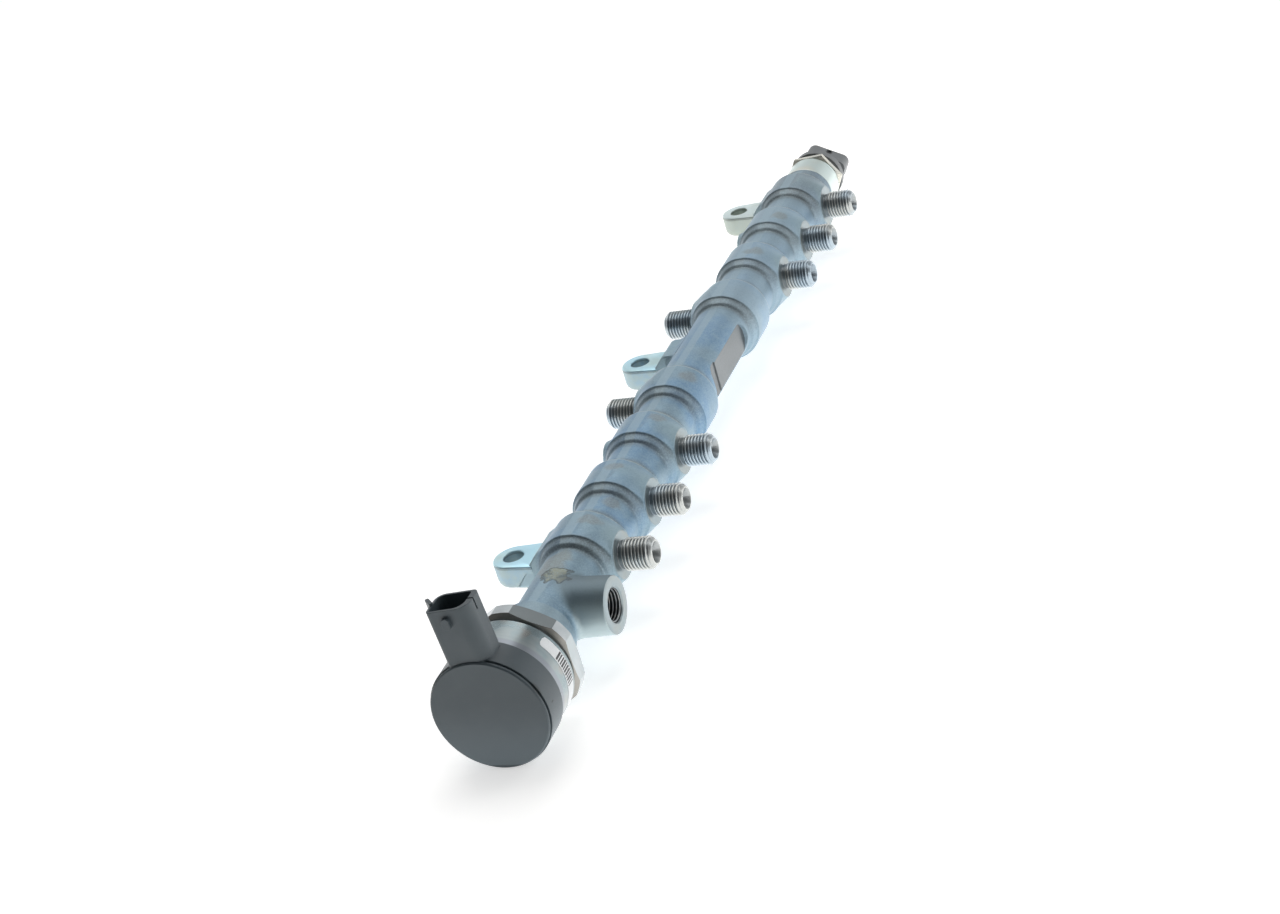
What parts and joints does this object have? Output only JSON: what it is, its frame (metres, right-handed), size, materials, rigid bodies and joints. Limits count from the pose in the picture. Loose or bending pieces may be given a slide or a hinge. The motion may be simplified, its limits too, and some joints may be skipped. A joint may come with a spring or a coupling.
{
  "type": "fuel rail",
  "caption": "Common rail of a six-cylinder diesel engine: forged body with threaded pipe stubs, bolt lugs, pressure control valve and pressure sensor.",
  "frame": {"origin": "centre of the middle lug's bolt hole, on the bolt seat under the lug", "axes": "+Y along the rail from the pressure control valve to the pressure sensor, +X from the lugs to the injector stubs, +Z from the seats to the bolt heads"},
  "size_m": [0.0723, 0.5279, 0.0713],
  "materials": {
    "forged_steel": "zinc-plated forging with a bluish passivation, fine scale grain, bright where machined",
    "valve_steel": "turned steel with a brownish edge",
    "can_zinc": "smooth zinc with a slight rainbow tint",
    "slate_plastic": "dark slate-grey glass-filled plastic, satin",
    "stainless": "satin",
    "hard_steel": "ground",
    "soft_iron": "turned",
    "spring_steel": "drawn wire",
    "bobbin_plastic": "moulded",
    "copper_wire": null,
    "seal_rubber": "satin",
    "backup_plastic": "white fluoropolymer",
    "tin_contacts": "tinned",
    "sensor_steel": "zinc-plated, pale",
    "board": "green board",
    "grey_plastic": "grey glass-filled plastic"
  },
  "bodies": {
    "rail": {"rail_body": "forged_steel", "valve_housing": "valve_steel", "magnet_can": "can_zinc", "end_cap": "slate_plastic", "nose_strainer": "stainless", "valve_seat": "hard_steel", "valve_spring": "spring_steel", "spring_shim": "stainless", "armature_cover": "stainless", "coil_bobbin": "bobbin_plastic", "coil_winding": "copper_wire", "nose_o_ring": "seal_rubber", "backup_ring": "backup_plastic", "can_o_ring": "seal_rubber", "valve_contact_pins": "tin_contacts", "sensor_body": "sensor_steel", "sensor_element": "stainless", "sensor_circuit_board": "board", "sensor_contact_pins": "tin_contacts", "sensor_seal_ring": "seal_rubber", "sensor_connector": "grey_plastic"},
    "plunger": {"armature": "soft_iron", "valve_pin": "hard_steel", "valve_ball": "hard_steel"}
  },
  "joints": [
    {"name": "valve_stroke", "type": "slide", "parent": "rail", "child": "plunger", "axis": [0, -1, 0], "range_m": [0, 0.0004], "stiffness_N_per_m": 800, "deforming": ["valve_spring"]}
  ]
}
